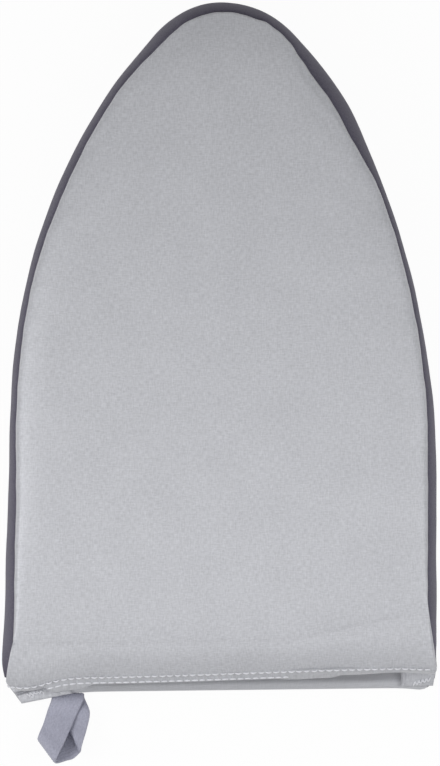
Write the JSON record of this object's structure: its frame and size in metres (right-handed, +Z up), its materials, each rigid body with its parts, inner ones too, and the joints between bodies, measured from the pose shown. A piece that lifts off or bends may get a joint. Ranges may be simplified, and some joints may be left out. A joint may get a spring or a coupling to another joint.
{
  "type": "ironing mitt",
  "caption": "Iron-shaped padded mitt with a silver-coated pressing face, dark side gusset, lined hand pocket open at the wide end and a webbing hanging loop.",
  "frame": {"origin": "on the resting face of the back panel, midway between the lip of the mouth and the tip", "axes": "+Z up out of the padded face, +Y towards the tip, +X to the right seen from above"},
  "size_m": [0.1598, 0.2801, 0.0374],
  "materials": {
    "silver_cloth": "matt silver-coated woven cloth",
    "foam": "open-cell foam",
    "lining_cloth": "smooth proofed polyester lining",
    "grey_cloth": "plain woven polyester",
    "webbing": "ribbed polyester webbing"
  },
  "bodies": {
    "mitt": {"face_cover": "silver_cloth", "foam_pad": "foam", "pad_lining": "lining_cloth", "gusset_lining": "lining_cloth", "back_lining": "lining_cloth", "side_gusset": "grey_cloth", "back_panel": "grey_cloth", "loop_ends": "webbing"},
    "loop": {"hanging_loop": "webbing"}
  },
  "joints": [
    {"name": "loop_swing", "type": "hinge", "parent": "mitt", "child": "loop", "pos_m": [-0.0563, -0.1293, 0.0028], "axis": [-1, 0, 0], "range_deg": [-75, 45]}
  ]
}
